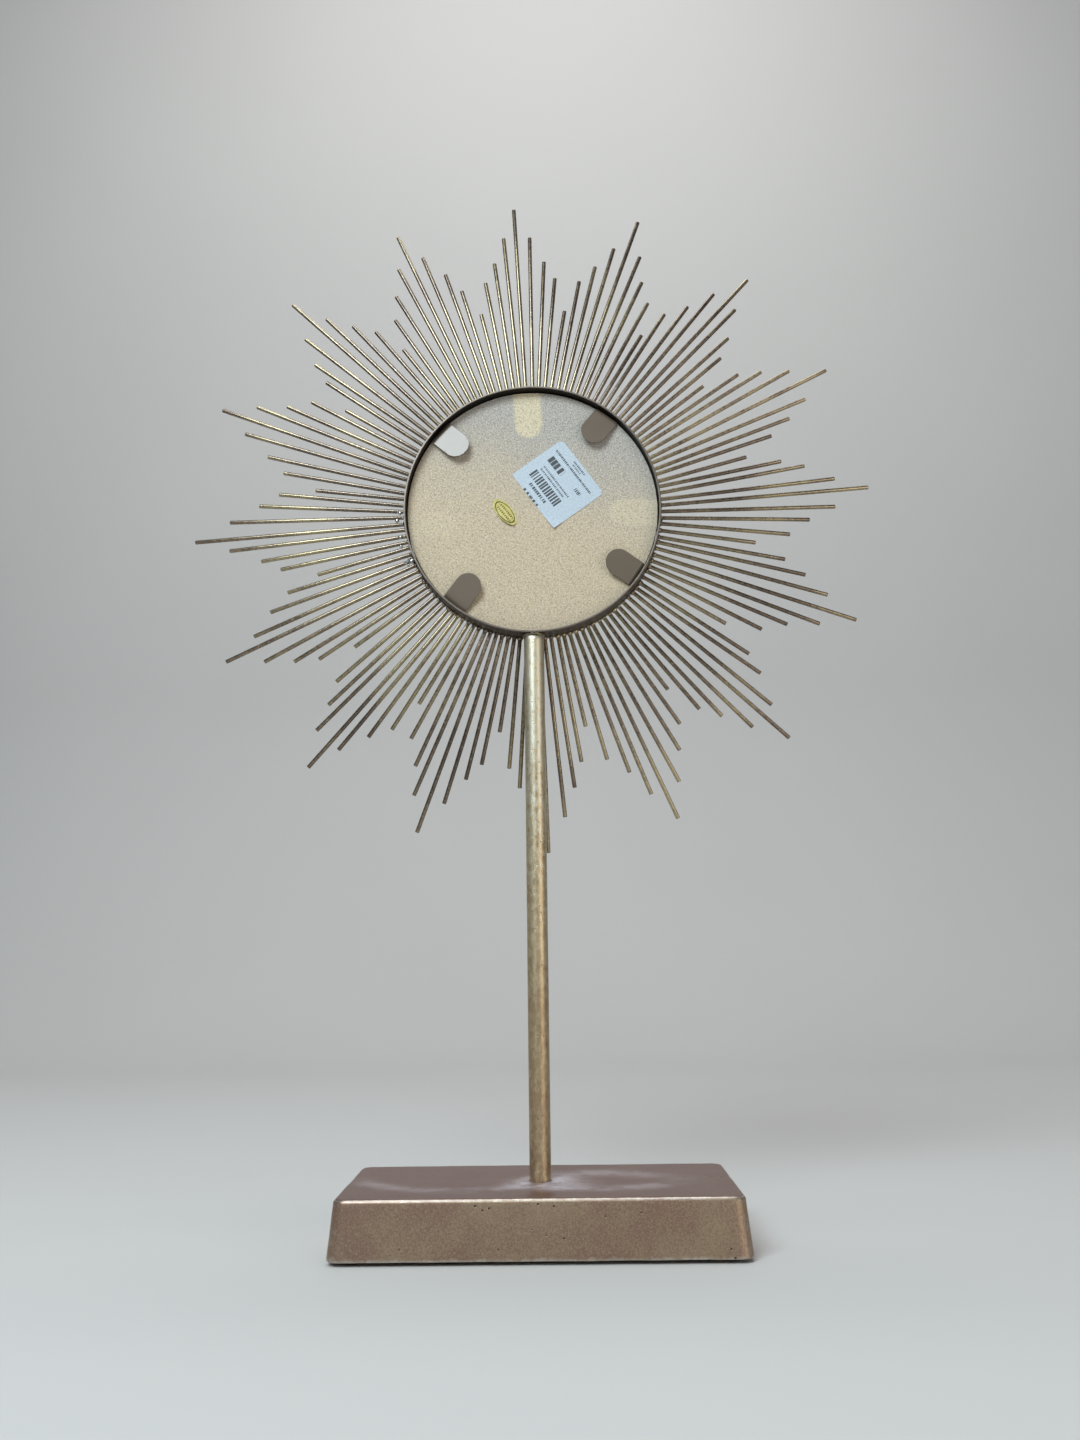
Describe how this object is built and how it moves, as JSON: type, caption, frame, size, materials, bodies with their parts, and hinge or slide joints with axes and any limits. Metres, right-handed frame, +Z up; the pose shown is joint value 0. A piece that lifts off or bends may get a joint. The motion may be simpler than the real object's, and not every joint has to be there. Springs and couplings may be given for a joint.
{
  "type": "table-top sunburst mirror on a pedestal",
  "caption": "Round mirror in a steel band with radiating metal rods of stepped lengths, on a slim tube post bolted to a drafted rectangular cast base.",
  "frame": {"origin": "middle of the footprint, on the table top under the foot pads", "axes": "+Z up along the post; the mirror faces -Y and the open back of the head faces +Y; X runs along the base's long side"},
  "size_m": [0.4144, 0.1136, 0.6273],
  "materials": {
    "antique_bronze": "dark brown bronze paint over welded steel, with warm pale highlights and rubbed edges",
    "antique_gold": "mottled antique gold paint over steel tube",
    "cast_base": "sand-cast metal with pits, brown-grey patina, gold flecks and bright worn edges",
    "mirror_silver": "silvered float glass",
    "hardboard": "tan fibreboard with fine speckle and grey overspray",
    "packing_card": "brown corrugated card",
    "label_paper": "smooth white sticker paper",
    "label_foil": "gold foil sticker",
    "pad_felt": "pressed dark felt",
    "zinc_steel": "zinc-plated steel"
  },
  "bodies": {
    "root": {"rim_band": "antique_bronze", "front_bezel": "antique_bronze", "mirror_glass": "mirror_silver", "packing_sheet": "packing_card", "backing_board": "hardboard", "retainer_tab_1": "antique_bronze", "retainer_tab_2": "antique_bronze", "retainer_tab_3": "antique_bronze", "retainer_tab_4": "antique_bronze", "price_label": "label_paper", "origin_label": "label_foil", "ray_fan_01": "antique_bronze", "ray_fan_02": "antique_bronze", "ray_fan_03": "antique_bronze", "ray_fan_04": "antique_bronze", "ray_fan_05": "antique_bronze", "ray_fan_06": "antique_bronze", "ray_fan_07": "antique_bronze", "ray_fan_08": "antique_bronze", "ray_fan_09": "antique_bronze", "ray_fan_10": "antique_bronze", "ray_fan_11": "antique_bronze", "ray_fan_12": "antique_bronze", "ray_fan_13": "antique_bronze", "ray_fan_14": "antique_bronze", "ray_fan_15": "antique_bronze", "ray_fan_16": "antique_bronze", "post_tube": "antique_gold", "neck_weld": "antique_bronze", "post_plug": "zinc_steel", "flat_washer": "zinc_steel", "spring_washer": "zinc_steel", "clamp_bolt": "zinc_steel", "base_casting": "cast_base", "foot_pad_1": "pad_felt", "foot_pad_2": "pad_felt", "foot_pad_3": "pad_felt", "foot_pad_4": "pad_felt"}
  },
  "joints": []
}
